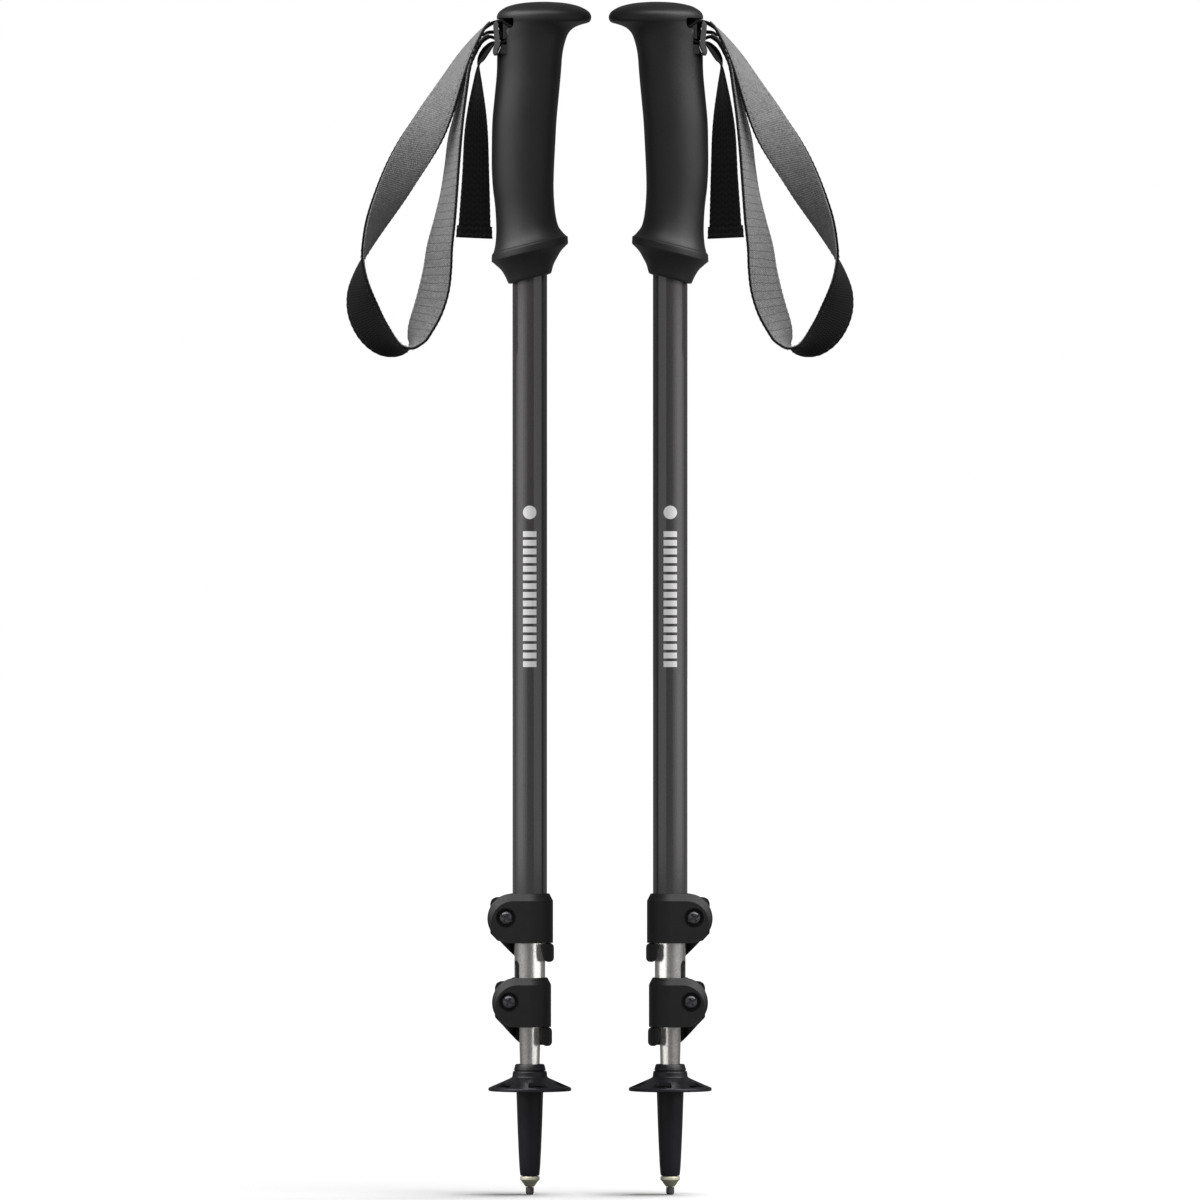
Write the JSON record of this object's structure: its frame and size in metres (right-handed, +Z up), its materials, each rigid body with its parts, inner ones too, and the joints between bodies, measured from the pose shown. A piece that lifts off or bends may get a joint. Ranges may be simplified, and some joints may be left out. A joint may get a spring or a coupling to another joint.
{
  "type": "trekking poles",
  "caption": "Pair of collapsed three-section trekking poles with lever locks, waisted rubber grips, twisted wrist straps, baskets and carbide tips.",
  "frame": {"origin": "on the ground, midway between the tips of the two poles", "axes": "+Z up along the poles, +X from the left pole to the right one, -Y towards the heads of the clamp screws"},
  "size_m": [0.2646, 0.0432, 0.62],
  "materials": {
    "grip_rubber": "moulded rubber, matte with a soft sheen",
    "lock_plastic": "glass-filled nylon, fine texture",
    "ferrule_plastic": "moulded nylon, semi-gloss",
    "buckle_nylon": "moulded nylon",
    "grey_tube": "dark grey anodised, satin",
    "bare_tube": "clear anodised, satin",
    "black_steel": "black oxide, glossy",
    "steel": "plain",
    "yellow_zinc": "yellow zinc plate",
    "carbide": "sintered, dull",
    "black_webbing": "flat woven polyester webbing",
    "grey_lining": "soft brushed lining tape"
  },
  "bodies": {
    "left_upper": {"left_grip": "grip_rubber", "left_strap_pin": "steel", "left_strap_buckle": "buckle_nylon", "left_strap_pin_turn": "black_webbing", "left_strap_tail": "black_webbing", "left_upper_shaft": "grey_tube", "left_upper_lock_body": "lock_plastic", "left_upper_lock_barrel": "steel"},
    "left_strap": {"left_strap_sewn_end": "black_webbing", "left_strap_webbing": "black_webbing", "left_strap_lining": "grey_lining"},
    "left_upper_lever": {"left_upper_lock_lever": "lock_plastic"},
    "left_upper_screw": {"left_upper_lock_screw": "black_steel"},
    "left_middle": {"left_middle_shaft": "bare_tube", "left_middle_shaft_plug": "lock_plastic", "left_lower_lock_body": "lock_plastic", "left_lower_lock_barrel": "steel"},
    "left_lower_lever": {"left_lower_lock_lever": "lock_plastic"},
    "left_lower_screw": {"left_lower_lock_screw": "black_steel"},
    "left_lower": {"left_lower_shaft": "bare_tube", "left_lower_shaft_plug": "lock_plastic", "left_tip_ferrule": "ferrule_plastic", "left_tip_holder": "yellow_zinc", "left_carbide_tip": "carbide"},
    "left_basket": {"left_basket": "ferrule_plastic"},
    "right_upper": {"right_grip": "grip_rubber", "right_strap_pin": "steel", "right_strap_buckle": "buckle_nylon", "right_strap_pin_turn": "black_webbing", "right_strap_tail": "black_webbing", "right_upper_shaft": "grey_tube", "right_upper_lock_body": "lock_plastic", "right_upper_lock_barrel": "steel"},
    "right_strap": {"right_strap_sewn_end": "black_webbing", "right_strap_webbing": "black_webbing", "right_strap_lining": "grey_lining"},
    "right_upper_lever": {"right_upper_lock_lever": "lock_plastic"},
    "right_upper_screw": {"right_upper_lock_screw": "black_steel"},
    "right_middle": {"right_middle_shaft": "bare_tube", "right_middle_shaft_plug": "lock_plastic", "right_lower_lock_body": "lock_plastic", "right_lower_lock_barrel": "steel"},
    "right_lower_lever": {"right_lower_lock_lever": "lock_plastic"},
    "right_lower_screw": {"right_lower_lock_screw": "black_steel"},
    "right_lower": {"right_lower_shaft": "bare_tube", "right_lower_shaft_plug": "lock_plastic", "right_tip_ferrule": "ferrule_plastic", "right_tip_holder": "yellow_zinc", "right_carbide_tip": "carbide"},
    "right_basket": {"right_basket": "ferrule_plastic"}
  },
  "joints": [
    {"name": "left_strap_swing", "type": "hinge", "parent": "left_upper", "child": "left_strap", "pos_m": [-0.0524, 0, 0.6024], "axis": [0, 1, 0], "range_deg": [0, 60]},
    {"name": "left_middle_slide", "type": "slide", "parent": "left_upper", "child": "left_middle", "axis": [0, 0, -1], "range_m": [0, 0.39]},
    {"name": "left_lower_slide", "type": "slide", "parent": "left_middle", "child": "left_lower", "axis": [0, 0, -1], "range_m": [0, 0.39]},
    {"name": "left_upper_lever_turn", "type": "hinge", "parent": "left_upper", "child": "left_upper_lever", "pos_m": [-0.0488, 0.0108, 0.144], "axis": [0, 0, 1], "range_deg": [0, 150]},
    {"name": "left_lower_lever_turn", "type": "hinge", "parent": "left_middle", "child": "left_lower_lever", "pos_m": [-0.0473, 0.0098, 0.1003], "axis": [0, 0, 1], "range_deg": [0, 150]},
    {"name": "left_upper_screw_turn", "type": "hinge", "parent": "left_upper", "child": "left_upper_screw", "pos_m": [-0.0488, 0, 0.144], "axis": [0, 1, 0], "range_deg": [-90, 90]},
    {"name": "left_lower_screw_turn", "type": "hinge", "parent": "left_middle", "child": "left_lower_screw", "pos_m": [-0.0473, 0, 0.1003], "axis": [0, 1, 0], "range_deg": [-90, 90]},
    {"name": "left_basket_slide", "type": "slide", "parent": "left_lower", "child": "left_basket", "axis": [0, 0, -1], "range_m": [0, 0.05]},
    {"name": "right_strap_swing", "type": "hinge", "parent": "right_upper", "child": "right_strap", "pos_m": [0.0524, 0, 0.6024], "axis": [0, 1, 0], "range_deg": [-60, 0]},
    {"name": "right_middle_slide", "type": "slide", "parent": "right_upper", "child": "right_middle", "axis": [0, 0, -1], "range_m": [0, 0.39]},
    {"name": "right_lower_slide", "type": "slide", "parent": "right_middle", "child": "right_lower", "axis": [0, 0, -1], "range_m": [0, 0.39]},
    {"name": "right_upper_lever_turn", "type": "hinge", "parent": "right_upper", "child": "right_upper_lever", "pos_m": [0.0488, 0.0108, 0.144], "axis": [0, 0, 1], "range_deg": [-150, 0]},
    {"name": "right_lower_lever_turn", "type": "hinge", "parent": "right_middle", "child": "right_lower_lever", "pos_m": [0.0473, 0.0098, 0.1003], "axis": [0, 0, 1], "range_deg": [-150, 0]},
    {"name": "right_upper_screw_turn", "type": "hinge", "parent": "right_upper", "child": "right_upper_screw", "pos_m": [0.0488, 0, 0.144], "axis": [0, 1, 0], "range_deg": [-90, 90]},
    {"name": "right_lower_screw_turn", "type": "hinge", "parent": "right_middle", "child": "right_lower_screw", "pos_m": [0.0473, 0, 0.1003], "axis": [0, 1, 0], "range_deg": [-90, 90]},
    {"name": "right_basket_slide", "type": "slide", "parent": "right_lower", "child": "right_basket", "axis": [0, 0, -1], "range_m": [0, 0.05]},
    {"name": "right_pole_apart", "type": "slide", "parent": "left_upper", "child": "right_upper", "axis": [1, 0, 0], "range_m": [0, 0.25]}
  ]
}
